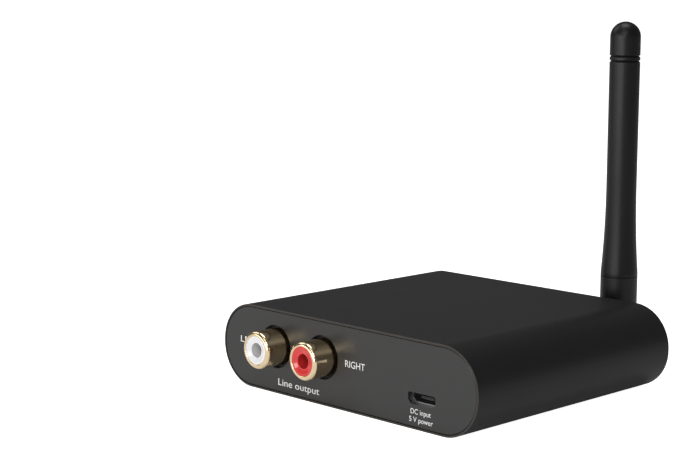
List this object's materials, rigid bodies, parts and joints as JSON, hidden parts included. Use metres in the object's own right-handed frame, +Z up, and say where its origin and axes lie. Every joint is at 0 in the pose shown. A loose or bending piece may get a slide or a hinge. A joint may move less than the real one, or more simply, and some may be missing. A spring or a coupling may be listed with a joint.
{
  "type": "bluetooth audio receiver",
  "caption": "Flat aluminium box with rounded sides that receives audio by radio, with red and white line output jacks, a DC port and a tilting antenna.",
  "frame": {"origin": "middle of the sleeve's flat underside, halfway between its two mouths", "axes": "+Z up, +X along the jack panel towards the DC port, +Y from the jack panel to the antenna panel"},
  "size_m": [0.0772, 0.0919, 0.0821],
  "materials": {
    "black_anodised_aluminium": "satin black anodised, fine bead blast",
    "black_panel": "fine moulded matt",
    "black_screw_steel": "black zinc",
    "gold_plate": "polished gold plate",
    "white_insulator": "glossy",
    "red_insulator": "glossy",
    "black_housing": "moulded",
    "tinned_steel": "tinned",
    "board_green": "solder mask on glass-epoxy",
    "module_blue": "solder mask on glass-epoxy",
    "chip_black": "moulded epoxy",
    "capacitor_can": "bare drawn can",
    "ceramic_tan": "fired ceramic",
    "inductor_ferrite": "sintered",
    "gasket_foam": "foam adhesive",
    "light_lens": "clear moulded lens",
    "white_dielectric": "machined fluoropolymer",
    "lead_jacket": "extruded jacket",
    "antenna_plastic": "fine moulded matt",
    "antenna_rubber": "soft matt cover",
    "button_black": "moulded",
    "brass": "drawn brass",
    "copper": "bare copper"
  },
  "bodies": {
    "case": {"sleeve": "black_anodised_aluminium", "jack_panel": "black_panel", "jack_panel_gasket": "gasket_foam", "antenna_panel": "black_panel", "panel_screws": "black_screw_steel", "circuit_board": "board_green", "jack_housing": "black_housing", "jack_barrel_left": "gold_plate", "jack_barrel_right": "gold_plate", "jack_insulator_left": "white_insulator", "jack_insulator_right": "red_insulator", "jack_contact_left": "brass", "jack_contact_right": "brass", "jack_ground_lugs": "tinned_steel", "port_shell": "tinned_steel", "port_tongue": "black_housing", "port_contacts": "gold_plate", "radio_module_board": "module_blue", "radio_shield_can": "tinned_steel", "radio_chip": "chip_black", "radio_crystal": "tinned_steel", "audio_converter_chip": "chip_black", "line_driver_chip": "chip_black", "voltage_regulator": "chip_black", "power_inductor": "inductor_ferrite", "electrolytic_capacitors": "capacitor_can", "ceramic_capacitors": "ceramic_tan", "resistors": "chip_black", "switch_body": "black_housing", "status_light": "light_lens", "status_light_leads": "tinned_steel", "status_light_holder": "black_housing", "bulkhead_jack": "gold_plate", "bulkhead_insulator": "white_dielectric", "bulkhead_contact": "gold_plate", "toothed_washer": "gold_plate", "panel_nut": "gold_plate", "antenna_lead": "lead_jacket", "antenna_lead_socket": "gold_plate", "antenna_lead_plug": "tinned_steel", "antenna_plug_core": "brass", "antenna_plug_insulator": "white_dielectric", "antenna_plug_pin": "gold_plate", "nut_retainer": "tinned_steel"},
    "antenna_nut": {"coupling_nut": "antenna_plastic"},
    "antenna_base": {"knuckle": "antenna_plastic"},
    "antenna_mast": {"fork_collar": "antenna_plastic", "hinge_pins": "tinned_steel", "mast_sleeve": "antenna_rubber", "mast_coax": "lead_jacket", "radiator_sleeve": "brass", "radiator_whip": "copper"},
    "pairing_button": {"button_cap": "button_black", "switch_plunger": "button_black"}
  },
  "joints": [
    {"name": "nut_spin", "type": "hinge", "parent": "case", "child": "antenna_nut", "pos_m": [0.0124, 0.0388, 0.0095], "axis": [0, 1, 0], "continuous": true},
    {"name": "antenna_swivel", "type": "hinge", "parent": "case", "child": "antenna_base", "pos_m": [0.0124, 0.0435, 0.0095], "axis": [0, 1, 0], "range_deg": [-90, 90]},
    {"name": "antenna_tilt", "type": "hinge", "parent": "antenna_base", "child": "antenna_mast", "pos_m": [0.0124, 0.049, 0.0095], "axis": [-1, 0, 0], "range_deg": [0, 90]},
    {"name": "button_press", "type": "slide", "parent": "case", "child": "pairing_button", "axis": [0, -1, 0], "range_m": [0, 0.0003], "stiffness_N_per_m": 2500}
  ]
}
